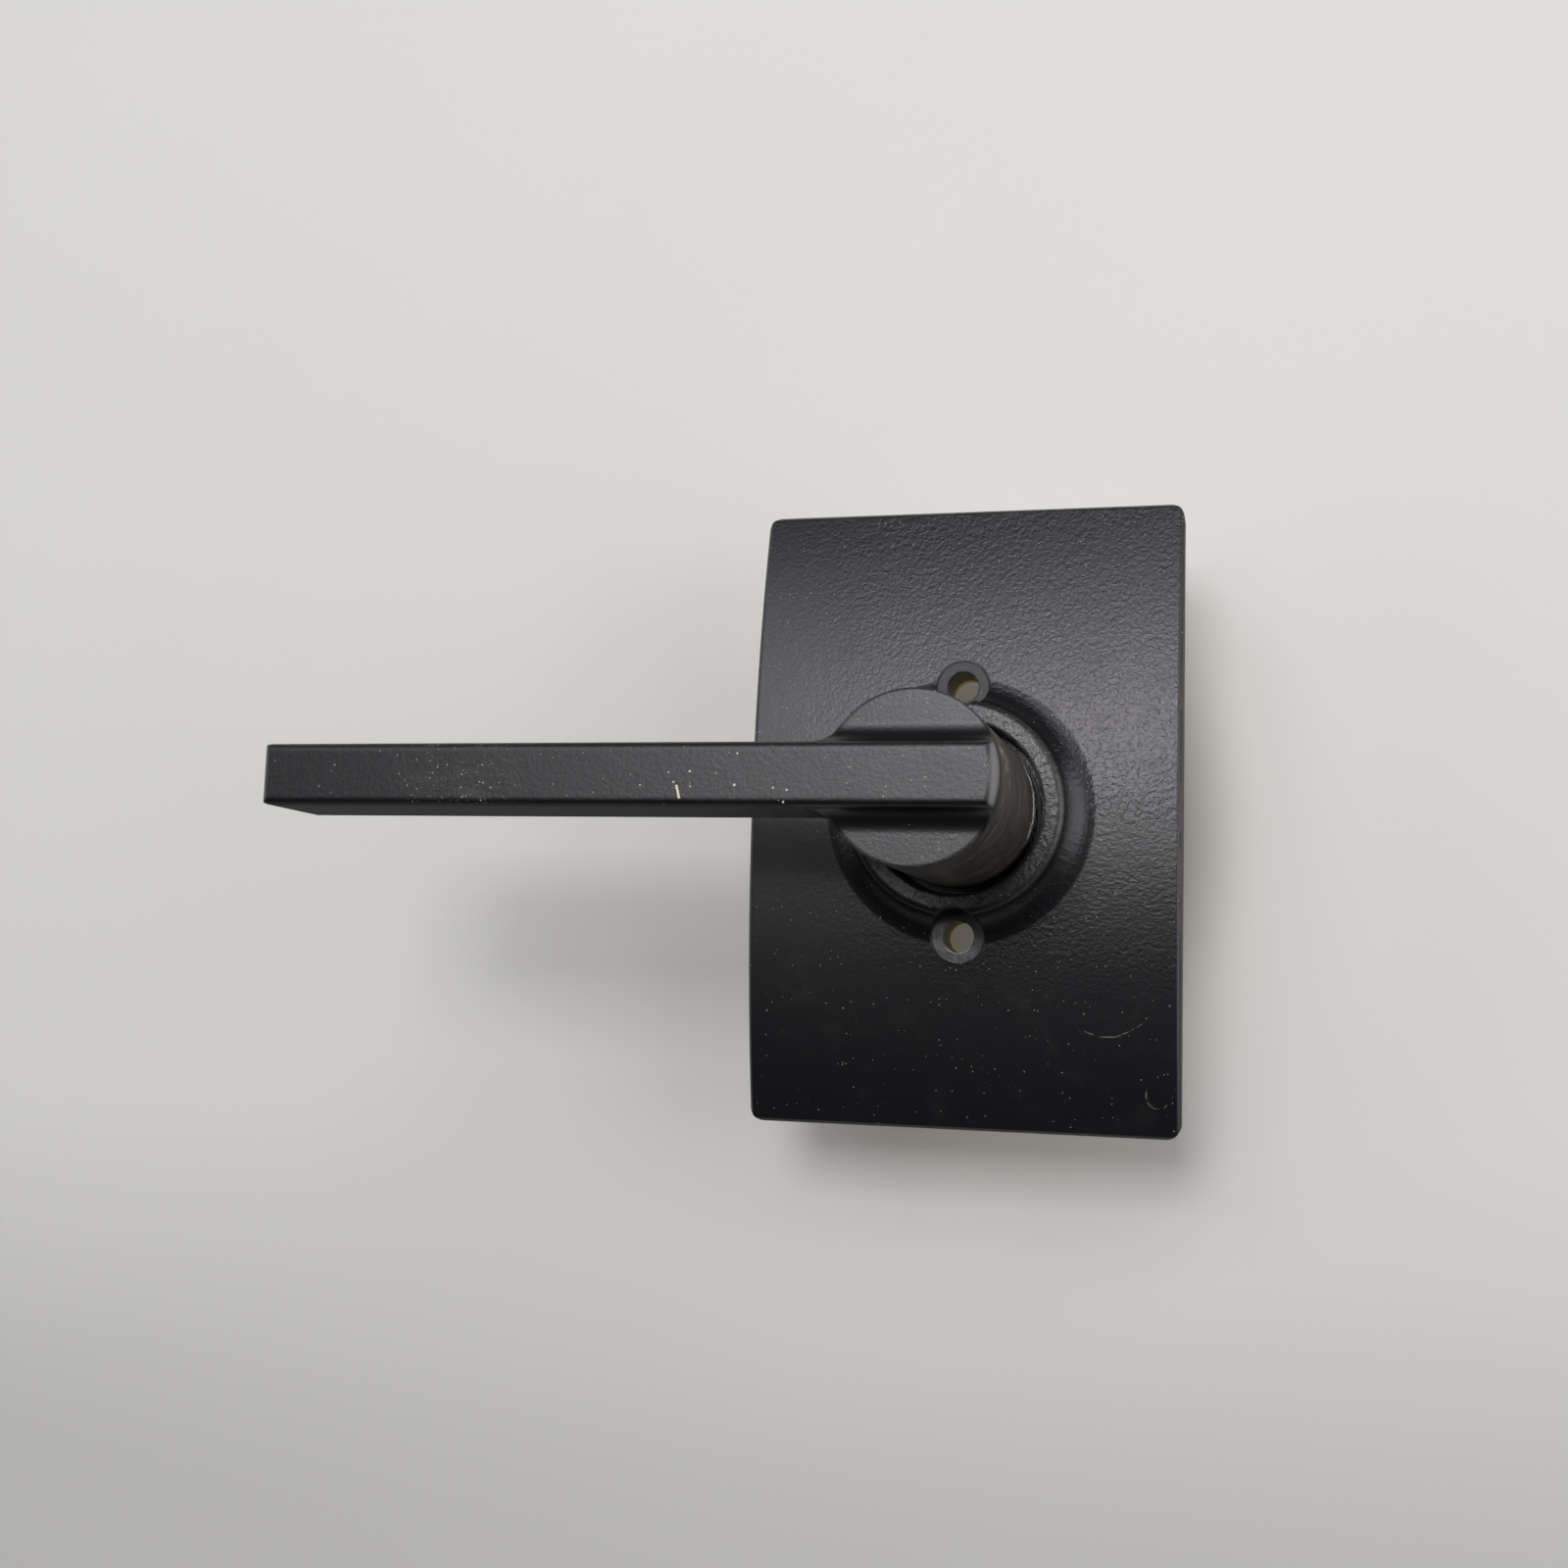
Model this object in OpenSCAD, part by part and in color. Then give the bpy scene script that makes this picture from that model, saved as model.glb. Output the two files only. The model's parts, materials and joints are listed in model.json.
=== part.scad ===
// Inside trim of an entry door handleset: a bar lever turning in an arched rose.
// Every piece is drawn face up on a bench: X across the door, Y up the door,
// Z out of the door, with the door's face at Z = 0. on_door() stands it up.

/* [Rose] */
// Width of the rose across the door
rose_w = 71; // [62:0.5:90]
// Height of the rose up the door
rose_h = 104; // [96:0.5:130]
// Depth of the rose at its top and bottom ends
rose_end_h = 5; // [4.8:0.1:6]
// Rise of the arched face from its ends to its middle
rose_rise = 6.3; // [5.6:0.1:9]
// Wall thickness of the casting
rose_wall = 2.4; // [1.8:0.1:2.8]
// Corner radius seen from the front
rose_corner_r = 2.3; // [0.8:0.1:6]
// Width of the broken edge round the face
rose_edge = 0.5; // [0.2:0.05:0.8]

/* [Boss on the rose] */
// Outer radius of the rim round the shank
rim_r = 17.7; // [17:0.1:18.2]
// Height of the rim above the crown of the arch
rim_rise = 5.5; // [5:0.1:8]
// Gap between the shank and the rim
rim_gap = 1.1; // [0.6:0.05:1.6]
// Rounding of the rim's outer edge
rim_round = 1.3; // [0.5:0.1:1.4]
// Rounding of the rim's inner edge
rim_in_round = 0.7; // [0.3:0.1:0.9]
// Width of the bearing web beyond the shank's well
web_lip = 2.1; // [1.6:0.1:2.4]
// Radius where the hollow flank runs out into the face
foot_r = 22.6; // [21.6:0.1:23]
// Radius of the flank's hollow
flank_r = 5.4; // [5.2:0.1:6.5]

/* [Door screws] */
// Distance between the two screw holes
screw_pitch = 41.3; // [41:0.05:43]
// Radius of the screw holes
screw_hole_r = 2.6; // [2.2:0.05:2.8]
// Radius of the flat seat under each screw head
seat_r = 4.4; // [4:0.1:4.8]
// Depth of the seat below the face
seat_drop = 0.35; // [0.2:0.05:0.7]
// Wall of the sleeve that each screw passes through
sleeve_wall = 1.2; // [0.8:0.1:1.3]
// Clearance between a sleeve and what it passes
sleeve_gap = 0.3; // [0.2:0.05:0.4]

/* [Lever] */
// Reach of the lever from its axis to its tip
lever_reach = 100; // [85:0.5:130]
// Height of the bar seen from the front
bar_h = 9.4; // [8:0.1:11]
// Depth of the bar from its front to its back
bar_d = 17; // [12:0.1:18]
// Rounding of the bar's long edges
bar_round = 1.1; // [0.4:0.1:1.1]
// Distance from the door to the bar's front
lever_front = 58.5; // [50:0.5:65]
// Radius of the hub and shank
shank_r = 12.9; // [12.4:0.1:13.4]
// Height of the bar above the hub's face
ridge_h = 4.4; // [3.4:0.1:5]
// Radius of the cove between the bar and the hub's face
cove_r = 3.2; // [1:0.1:3.2]
// Rounding of the bar's end over the hub
end_round = 1.4; // [0.8:0.1:1.8]
// Radius of the blend from the bar into the hub seen from the front
blend_r = 5.3; // [3:0.1:9]
// Radius of the fillet between the bar's back and the shank
throat_r = 4; // [2:0.1:8]

/* [Bearing] */
// Radius of the turned neck behind the shank
neck_r = 9; // [8.6:0.05:9.4]
// Running clearance of the neck in the bushing
bearing_gap = 0.05; // [0.02:0.01:0.09]
// Wall of the nylon bushing
bushing_wall = 2; // [1.6:0.1:2.1]
// Thickness of the bushing's flange
bushing_flange = 1.2; // [0.8:0.1:1.6]
// Radial width of the bushing's flange beyond its sleeve
flange_lip = 2.2; // [1.4:0.1:2.3]
// Length of the bushing's sleeve
bushing_len = 4.2; // [3.2:0.1:4.2]
// Thickness of the wave washer's steel
wave_t = 0.4; // [0.3:0.05:0.6]
// Height of the wave washer's waves
wave_rise = 0.2; // [0.1:0.05:0.3]
// End play left between turning and fixed faces
end_play = 0.1; // [0.05:0.01:0.2]

/* [Back plate] */
// Thickness of the back plate
plate_t = 1.5; // [1.2:0.1:1.8]
// Depth of the back plate inside the rose's back edge
plate_recess = 0.2; // [0.1:0.05:0.5]
// Gap between the back plate's edge and the rose's wall
plate_gap = 0.25; // [0.1:0.05:0.5]
// Distance from the middle to the plate screws across the rose
plate_screw_x = 26; // [20:0.5:27]
// Distance from the middle to the plate screws up the rose
plate_screw_y = 38; // [32:0.5:40]
// Radius of the plate screws
plate_screw_r = 1.5; // [1.25:0.05:1.6]
// Length of the plate screws
plate_screw_len = 4.8; // [4:0.1:5.2]

/* [Spring cage] */
// Inner radius of the spring cage
cage_r = 15.3; // [15.2:0.1:15.6]
// Thickness of the cage's sheet
cage_t = 0.9; // [0.7:0.05:1]
// Depth of the cage's floor behind the door's face
cage_floor = 3.3; // [3:0.1:3.8]
// Half width of the cage's ears
ear_reach = 23.5; // [22.5:0.1:24.5]
// Distance from the axis to the rivets across the rose
rivet_x = 20.2; // [19.6:0.1:20.8]
// Distance from the axis to the rivets up the rose
rivet_y = 5.5; // [4:0.1:6.5]
// Radius of the rivets
rivet_r = 1.2; // [0.9:0.05:1.4]

/* [Return spring] */
// Mean radius of the spring's coil
coil_r = 11.9; // [11.7:0.05:12]
// Radius of the spring's wire
wire_r = 0.75; // [0.6:0.05:0.8]
// Number of turns
coil_turns = 3; // [2:1:3]
// Half width of the two tabs between the spring's legs
tab_half = 2; // [1.4:0.1:2.4]
// Thickness of the tabs
tab_t = 0.9; // [0.7:0.05:1]

/* [Drive and retaining pieces] */
// Distance from the axis to the flats on the neck
flat_y = 7.4; // [7:0.1:8]
// Thickness of the drive plate
drive_t = 1.5; // [1.2:0.1:1.7]
// Thickness of the thrust washer
thrust_t = 1; // [0.8:0.1:1.2]
// Radius of the thrust washer
thrust_r = 13.5; // [12:0.1:14]
// Thickness of the retaining ring
ring_t = 1.2; // [1:0.1:1.3]
// Radial width of the retaining ring
ring_w = 3; // [2.2:0.1:3.2]
// Depth of the groove for the retaining ring
groove_d = 1.1; // [0.8:0.1:1.3]
// Fitting clearance of pieces that are keyed or slipped on
fit_gap = 0.1; // [0.05:0.01:0.15]

/* [Spindle] */
// Side of the square spindle
spindle_w = 8; // [7.5:0.1:8.2]
// Reach of the spindle behind the door's face
spindle_reach = 26; // [20:0.5:40]
// Depth of the spindle's socket in front of the door's face
socket_depth = 14; // [8:0.5:20]
// Radius of the pin through the neck and spindle
pin_r = 1.25; // [1:0.05:1.5]
// Length of neck behind the retaining ring
neck_tail = 4; // [3.8:0.1:5]

/* [Hidden] */
$fn = 96;

// Heights on the rose: the crown of its arch, its rim and its screw seats
crown_z = rose_end_h + rose_rise;
arch_r = (pow(rose_h / 2, 2) + pow(rose_rise, 2)) / (2 * rose_rise);
rim_z = crown_z + rim_rise;
function arch_z(y) = crown_z - arch_r + sqrt(arch_r * arch_r - y * y);
seat_z = arch_z(screw_pitch / 2) - seat_drop;

// The well that the shank turns in, down to the web that holds the bushing
well_r = shank_r + rim_gap;
web_z = crown_z - 1.9;
bushing_r = neck_r + bearing_gap + bushing_wall;
web_back_z = web_z - 2;
web_r = well_r + web_lip;
sleeve_r = screw_hole_r + sleeve_wall;
flange_z = web_z + bushing_flange;
shoulder_z = flange_z + wave_t + wave_rise;

// The back plate's faces
plate_back_z = plate_recess;
plate_z = plate_recess + plate_t;

// The cage, drive plate, washer and ring, one behind the other
ear_z = plate_z + cage_t;
cage_out_r = cage_r + cage_t;
drive_back_z = -cage_floor + end_play;
drive_z = drive_back_z + drive_t;
cage_back_z = -cage_floor - cage_t;
thrust_z = cage_back_z - end_play;
ring_z = thrust_z - thrust_t;
groove_r = neck_r - groove_d;
ring_in_r = groove_r + fit_gap;
neck_end_z = ring_z - ring_t - 2 * fit_gap - neck_tail;
pin_z = (ring_z - ring_t - 2 * fit_gap + neck_end_z) / 2;

// The spring lies between the bushing and the drive plate
coil_front = web_z - bushing_len - 0.2;
coil_back = drive_z + 0.3;
leg_front_z = coil_front - wire_r;
leg_back_z = coil_back + wire_r;
leg_x = tab_half + wire_r + fit_gap;
leg_end = sqrt(cage_r * cage_r - pow(leg_x + wire_r, 2)) - fit_gap;
drive_tab_r = coil_r + wire_r + fit_gap;
cage_tab_r = sqrt(pow(drive_tab_r + tab_t, 2) + tab_half * tab_half) + 2 * fit_gap;
tab_top_z = leg_front_z + wire_r + 0.3;

// The hub and bar
hub_z = lever_front - ridge_h;
bar_back_z = lever_front - bar_d;
// The blend's circle dips a hair into the hub's, so the two arcs cross cleanly
blend_bite = 0.008;
blend_x = sqrt(pow(shank_r + blend_r - blend_bite, 2) - pow(bar_h / 2 + blend_r, 2));
ridge_end = shank_r + 0.05;

module on_door() {
  rotate([90, 0, 0]) children();
}

// A straight round bar along Z from one height to another
module rod(r, z0, z1) {
  translate([0, 0, z0]) cylinder(h = z1 - z0, r = r);
}

// A rectangle with true round corners, centred
module round_rect(w, h, r) {
  union() {
    square([w - 2 * r, h], center = true);
    square([w, h - 2 * r], center = true);
    for (x = [-1, 1])
      for (y = [-1, 1])
        translate([x * (w / 2 - r), y * (h / 2 - r)]) circle(r = r);
  }
}

// A round solid whose axis lies along X below the face: the arch of the rose
module arched_roll(r, w, edge) {
  translate([0, 0, crown_z - arch_r])
    rotate([0, 90, 0])
      rotate_extrude($fn = 480)
        polygon([[0, -w / 2], [r - edge, -w / 2], [r, -w / 2 + edge], [r, w / 2 - edge],
          [r - edge, w / 2], [0, w / 2]]);
}

// Wedge that breaks the edge between the arched face and one end wall
module end_break(side) {
  y1 = rose_h / 2;
  z1 = rose_end_h - rose_edge;
  y2 = rose_h / 2 - rose_edge;
  z2 = arch_z(y2);
  mirror([0, side, 0])
    translate([-rose_w, 0, 0])
      rotate([90, 0, 90])
        linear_extrude(2 * rose_w)
          polygon([[y1 + 2 * (y1 - y2), z1 + 2 * (z1 - z2)], [y1 + 4, z1 + 6],
            [y2 - 2 * (y1 - y2), z2 - 2 * (z1 - z2)]]);
}

// Section of the hollow flank: radius, and height over the arched face. The hollow
// ends in a straight slope that runs into the collar's wall.
flank_top = asin(min(0.9, (foot_r - rim_r) / flank_r));
flank_steps = 7;
flank_end = [foot_r - flank_r * sin(flank_top), flank_r * (1 - cos(flank_top))];
flank_in = rim_r - 0.4;
flank_lift = flank_end[1] + (flank_end[0] - flank_in) * tan(flank_top);
flank_section = concat(
  [[flank_in, -1.2], [foot_r + 0.6, -1.2], [foot_r + 0.6, -0.2]],
  [for (i = [0 : flank_steps])
    let (a = 9 + (flank_top - 9) * i / flank_steps)
      [foot_r - flank_r * sin(a), flank_r * (1 - cos(a))]],
  [[flank_in, flank_lift]]);

// The flank follows the arch all the way round, so it is swept ring by ring
module flank() {
  n = len(flank_section);
  turns = 72;
  points = [for (i = [0 : turns - 1])
    for (s = flank_section)
      [s[0] * cos(i * 360 / turns), s[0] * sin(i * 360 / turns),
        arch_z(s[0] * sin(i * 360 / turns)) + s[1]]];
  faces = [for (i = [0 : turns - 1])
    for (k = [0 : n - 1])
      let (a = i * n + k, b = i * n + (k + 1) % n,
        c = ((i + 1) % turns) * n + (k + 1) % n, d = ((i + 1) % turns) * n + k)
        for (f = [[a, b, c], [a, c, d]]) f];
  polyhedron(points = points, faces = faces, convexity = 8);
}

// Rim and well wall, one turned form
module collar() {
  rotate_extrude()
    difference() {
      union() {
        translate([0, web_back_z]) square([web_r, web_z - web_back_z + 1]);
        translate([0, crown_z - 1.6]) square([rim_r, rim_rise + 1.6 - rim_round]);
        translate([0, rim_z - rim_round - 0.01])
          square([rim_r - rim_round, rim_round + 0.01]);
        translate([rim_r - rim_round, rim_z - rim_round]) circle(r = rim_round);
      }
      translate([-1, web_z]) square([well_r + 1, rim_z]);
      translate([-1, 0]) square([bushing_r + fit_gap / 2 + 1, rim_z]);
      difference() {
        translate([well_r - 1, rim_z - rim_in_round])
          square([rim_in_round + 1, rim_in_round + 1]);
        translate([well_r + rim_in_round, rim_z - rim_in_round]) circle(r = rim_in_round);
      }
    }
}

module rose_post(x, y) {
  translate([x, y, 0])
    rod(plate_screw_r + 1.6, plate_z, arch_z(y) - rose_wall / 2);
}

module rose() {
  color([0.09, 0.09, 0.1])
    on_door()
      difference() {
        union() {
          difference() {
            intersection() {
              linear_extrude(crown_z + 1) round_rect(rose_w, rose_h, rose_corner_r);
              arched_roll(arch_r, rose_w, rose_edge);
            }
            intersection() {
              translate([0, 0, -1])
                linear_extrude(crown_z + 1)
                  round_rect(rose_w - 2 * rose_wall, rose_h - 2 * rose_wall,
                    max(0.4, rose_corner_r - rose_wall / 2));
              arched_roll(arch_r - rose_wall, rose_w, 0.3);
            }
            rod(well_r + 1, -1, crown_z + 2);
            end_break(0);
            end_break(1);
          }
          flank();
          collar();
          for (x = [-1, 1])
            for (y = [-1, 1])
              rose_post(x * plate_screw_x, y * plate_screw_y);
        }
        for (s = [-1, 1])
          translate([0, s * screw_pitch / 2, 0]) {
            rod(screw_hole_r, -1, rim_z + 1);
            rod(seat_r, seat_z, rim_z + 1);
          }
        for (x = [-1, 1])
          for (y = [-1, 1])
            translate([x * plate_screw_x, y * plate_screw_y, 0])
              rod(plate_screw_r + 0.02, -1, plate_recess + plate_screw_len + 0.4);
      }
}

// The hub from the front: a circle with the two blends into the bar
module hub_plan() {
  y = bar_h / 2 + blend_r;
  union() {
    circle(r = shank_r);
    for (s = [-1, 1])
      difference() {
        polygon([[-blend_x, 0], [0, 0], [-blend_x, s * y]]);
        translate([-blend_x, s * y]) circle(r = blend_r);
      }
  }
}

// Across the hub: flat shoulders, a cove each side and the ridge of the bar
module hub_section() {
  c = min(cove_r, ridge_h - bar_round);
  union() {
    translate([-shank_r - 1, bar_back_z - 1])
      square([2 * shank_r + 2, hub_z - bar_back_z + 1]);
    translate([-bar_h / 2, hub_z - 1])
      square([bar_h, ridge_h + 1 - bar_round]);
    translate([-bar_h / 2 + bar_round, hub_z - 1])
      square([bar_h - 2 * bar_round, ridge_h + 1]);
    for (s = [-1, 1])
      translate([s * (bar_h / 2 - bar_round), lever_front - bar_round])
        circle(r = bar_round);
    for (s = [-1, 1])
      difference() {
        translate([s > 0 ? bar_h / 2 - 1 : -bar_h / 2 - c, hub_z - 1])
          square([c + 1, c + 1]);
        translate([s * (bar_h / 2 + c), hub_z + c]) circle(r = c);
      }
  }
}

// Section of the bar: height by depth, with round edges
module bar_section() {
  translate([0, lever_front - bar_d / 2]) round_rect(bar_h, bar_d, bar_round);
}

module bar() {
  intersection() {
    translate([-lever_reach, 0, 0])
      rotate([90, 0, 90])
        linear_extrude(lever_reach) bar_section();
    translate([-lever_reach / 2 + 10, 0, bar_back_z - 1])
      linear_extrude(bar_d + 2)
        round_rect(lever_reach + 20, bar_h, bar_round);
    translate([0, bar_h, 0])
      rotate([90, 0, 0])
        linear_extrude(2 * bar_h)
          translate([-lever_reach / 2 + 10, lever_front - bar_d / 2])
            round_rect(lever_reach + 20, bar_d, bar_round);
  }
}

module throat() {
  difference() {
    translate([-shank_r - throat_r, -bar_h / 2 + bar_round, bar_back_z - throat_r])
      cube([throat_r + 4, bar_h - 2 * bar_round, throat_r + bar_round + 1]);
    translate([-shank_r - throat_r, bar_h, bar_back_z - throat_r])
      rotate([90, 0, 0]) cylinder(h = 2 * bar_h, r = throat_r);
  }
}

module lever() {
  color([0.07, 0.07, 0.08])
    on_door()
      difference() {
        union() {
          bar();
          throat();
          rod(shank_r, shoulder_z, bar_back_z + 2);
          intersection() {
            translate([0, 0, bar_back_z])
              linear_extrude(bar_d + 1) hub_plan();
            translate([-blend_x - 2, 0, 0])
              rotate([90, 0, 90])
                linear_extrude(blend_x + 2 + shank_r + 1) hub_section();
            union() {
              translate([-blend_x - 1, -shank_r - 1, bar_back_z])
                cube([blend_x + 2 + shank_r, 2 * shank_r + 2, hub_z - bar_back_z]);
              rotate_extrude() {
                translate([0, hub_z - 1]) square([ridge_end - end_round, ridge_h + 1]);
                translate([0, hub_z - 1])
                  square([ridge_end, ridge_h + 1 - end_round]);
                translate([ridge_end - end_round, lever_front - end_round])
                  circle(r = end_round);
              }
              translate([-blend_x - 1, -shank_r - 1, bar_back_z])
                cube([blend_x + 1 - ridge_end / 2, 2 * shank_r + 2, bar_d]);
            }
          }
          rod(neck_r, neck_end_z + 0.6, shoulder_z + 1);
          translate([0, 0, neck_end_z]) cylinder(h = 0.6, r1 = neck_r - 0.6, r2 = neck_r);
        }
        for (s = [-1, 1])
          translate([-neck_r - 1, s > 0 ? flat_y : -flat_y - neck_r, neck_end_z - 1])
            cube([2 * neck_r + 2, neck_r, drive_z + fit_gap - neck_end_z + 1]);
        difference() {
          rod(neck_r + 2, ring_z - ring_t - 2 * fit_gap, ring_z);
          rod(groove_r, ring_z - ring_t - 1, ring_z + 1);
        }
        translate([-spindle_w / 2 - fit_gap, -spindle_w / 2 - fit_gap, neck_end_z - 1])
          cube([spindle_w + 2 * fit_gap, spindle_w + 2 * fit_gap,
            socket_depth - neck_end_z + 1]);
        translate([0, 0, pin_z])
          rotate([0, 90, 0])
            cylinder(h = 2 * neck_r + 2, r = pin_r + fit_gap / 2, center = true);
      }
}

module bushing() {
  color([0.86, 0.85, 0.8])
    on_door()
      difference() {
        union() {
          rod(bushing_r, web_z - bushing_len, flange_z);
          rod(bushing_r + flange_lip, web_z, flange_z);
        }
        rod(neck_r + bearing_gap, web_z - bushing_len - 1, flange_z + 1);
      }
}

// A thin spring ring with three waves that touch the shank's shoulder
module wave_washer() {
  turns = 60;
  r0 = neck_r + 0.3;
  r1 = neck_r + 3.6;
  points = [for (i = [0 : turns - 1])
    let (a = i * 360 / turns, z = flange_z + (wave_rise - 0.02) * (1 - cos(3 * a)) / 2)
      for (p = [[r0, z], [r1, z], [r1, z + wave_t], [r0, z + wave_t]])
        [p[0] * cos(a), p[0] * sin(a), p[1]]];
  faces = [for (i = [0 : turns - 1])
    for (k = [0 : 3])
      let (a = i * 4 + k, b = i * 4 + (k + 1) % 4, c = ((i + 1) % turns) * 4 + (k + 1) % 4,
        d = ((i + 1) % turns) * 4 + k)
        for (f = [[a, b, c], [a, c, d]]) f];
  color([0.7, 0.7, 0.72])
    on_door() polyhedron(points = points, faces = faces, convexity = 6);
}

module mounting_sleeves() {
  color([0.72, 0.58, 0.3])
    on_door()
      for (s = [-1, 1])
        translate([0, s * screw_pitch / 2, 0])
          difference() {
            intersection() {
              rod(sleeve_r, plate_z, crown_z);
              translate([0, -s * screw_pitch / 2, 0])
                arched_roll(arch_r - rose_wall - 0.02, rose_w, 0.3);
            }
            rod(screw_hole_r, plate_z - 1, crown_z + 1);
            translate([0, -s * screw_pitch / 2, 0])
              rod(web_r + sleeve_gap, web_back_z - sleeve_gap, crown_z + 1);
          }
}

// One screw place: through hole with its countersink open to the back
module plate_screw_seat() {
  rod(plate_screw_r + 0.15, -1, plate_z + 1);
  translate([0, 0, plate_back_z])
    cylinder(h = plate_screw_r, r1 = 2 * plate_screw_r, r2 = plate_screw_r);
}

module back_plate() {
  color([0.75, 0.62, 0.32])
    on_door()
      difference() {
        translate([0, 0, plate_back_z])
          linear_extrude(plate_t)
            round_rect(rose_w - 2 * (rose_wall + plate_gap),
              rose_h - 2 * (rose_wall + plate_gap),
              max(0.4, rose_corner_r - rose_wall / 2) + 0.2);
        rod(cage_out_r + 0.2, -1, plate_z + 1);
        for (s = [-1, 1])
          translate([0, s * screw_pitch / 2, 0]) rod(screw_hole_r, -1, plate_z + 1);
        for (x = [-1, 1])
          for (y = [-1, 1])
            translate([x * plate_screw_x, y * plate_screw_y, 0]) plate_screw_seat();
        for (x = [-1, 1])
          for (y = [-1, 1])
            translate([x * rivet_x, y * rivet_y, 0])
              rod(rivet_r + 0.03, -1, plate_z + 1);
      }
}

module back_plate_screws() {
  color([0.62, 0.62, 0.64])
    on_door()
      for (x = [-1, 1])
        for (y = [-1, 1])
          translate([x * plate_screw_x, y * plate_screw_y, plate_back_z])
            difference() {
              union() {
                rod(plate_screw_r, 0, plate_screw_len);
                cylinder(h = plate_screw_r - 0.04, r1 = 2 * plate_screw_r - 0.04,
                  r2 = plate_screw_r);
              }
              for (a = [0, 90])
                rotate([0, 0, a])
                  translate([-plate_screw_r, -0.25, -1])
                    cube([2 * plate_screw_r, 0.5, 1.7]);
            }
}

// A pressed cup: flanged ears on the back plate, a floor with one tab bent up
module spring_cage() {
  color([0.6, 0.6, 0.62])
    on_door()
      union() {
        difference() {
          union() {
            intersection() {
              rod(ear_reach, plate_z, ear_z);
              translate([0, 0, plate_z + cage_t / 2])
                cube([2 * ear_reach + 2, 2 * (rivet_y + rivet_r + 1.4), cage_t + 1],
                  center = true);
            }
            rod(cage_out_r, cage_back_z, ear_z);
          }
          rod(cage_r, -cage_floor, ear_z + 1);
          rod(neck_r + 0.4, cage_back_z - 1, 0);
          for (x = [-1, 1])
            for (y = [-1, 1])
              translate([x * rivet_x, y * rivet_y, 0]) rod(rivet_r + 0.03, 0, ear_z + 1);
          for (s = [-1, 1])
            translate([0, s * screw_pitch / 2, 0])
              rod(sleeve_r + sleeve_gap, cage_back_z - 1, ear_z + 1);
        }
        translate([-tab_half, cage_tab_r, -cage_floor - cage_t / 2])
          cube([2 * tab_half, tab_t, tab_top_z + cage_floor + cage_t / 2]);
      }
}

module cage_rivets() {
  color([0.68, 0.68, 0.7])
    on_door()
      for (x = [-1, 1])
        for (y = [-1, 1])
          translate([x * rivet_x, y * rivet_y, 0])
            union() {
              rod(rivet_r, plate_back_z - 0.5, ear_z + 0.6);
              rod(rivet_r * 1.7, ear_z, ear_z + 0.7);
              rod(rivet_r * 1.6, plate_back_z - 0.6, plate_back_z);
            }
}

// Wire swept round the neck, with both ends turned out past the tabs. Each place
// on the wire is X, Y, Z and the sideways vector of its section.
coil_rings = 24 * coil_turns;
coil_start = 90 + asin(leg_x / coil_r);
coil_sweep = coil_turns * 360 - 2 * asin(leg_x / coil_r);
function mitre(u, v) = (u + v) * 2 / ((u + v) * (u + v));
function coil_place(t) =
  let (a = coil_start + coil_sweep * t, z = leg_front_z + (leg_back_z - leg_front_z) * t,
    radial = [cos(a), sin(a)],
    u = t == 0 ? mitre(radial, [-1, 0]) : t == 1 ? mitre(radial, [1, 0]) : radial)
    [coil_r * cos(a), coil_r * sin(a), z, u[0], u[1]];
wire_path = concat([[-leg_x, leg_end, leg_front_z, -1, 0]],
  [for (i = [0 : coil_rings]) coil_place(i / coil_rings)],
  [[leg_x, leg_end, leg_back_z, 1, 0]]);

module return_spring() {
  sides = 8;
  n = len(wire_path);
  points = [for (p = wire_path)
    for (k = [0 : sides - 1])
      let (c = wire_r * cos(k * 360 / sides), s = wire_r * sin(k * 360 / sides))
        [p[0] + c * p[3], p[1] + c * p[4], p[2] + s]];
  skin = [for (i = [0 : n - 2])
    for (k = [0 : sides - 1])
      let (a = i * sides + k, b = i * sides + (k + 1) % sides,
        c = (i + 1) * sides + (k + 1) % sides, d = (i + 1) * sides + k)
        for (f = [[a, b, c], [a, c, d]]) f];
  start = [for (k = [sides - 1 : -1 : 0]) k];
  finish = [for (k = [0 : sides - 1]) (n - 1) * sides + k];
  color([0.55, 0.55, 0.57])
    on_door()
      polyhedron(points = points, faces = concat(skin, [start], [finish]),
        convexity = 8);
}

// A washer keyed on the neck's flats, with one arm bent up between the legs
module drive_plate() {
  color([0.66, 0.66, 0.68])
    on_door()
      difference() {
        union() {
          rod(coil_r + wire_r, drive_back_z, drive_z);
          translate([-tab_half, 0, drive_back_z])
            cube([2 * tab_half, drive_tab_r + tab_t, drive_t]);
          translate([-tab_half, drive_tab_r, drive_back_z])
            cube([2 * tab_half, tab_t, tab_top_z - drive_back_z]);
        }
        intersection() {
          rod(neck_r + fit_gap, drive_back_z - 1, drive_z + 1);
          translate([-neck_r - 1, -flat_y - fit_gap, drive_back_z - 1])
            cube([2 * neck_r + 2, 2 * (flat_y + fit_gap), drive_t + 2]);
        }
      }
}

module thrust_washer() {
  color([0.72, 0.72, 0.74])
    on_door()
      difference() {
        rod(thrust_r, ring_z + fit_gap / 2, thrust_z);
        rod(neck_r + 0.2, ring_z - 1, thrust_z + 1);
      }
}

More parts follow.
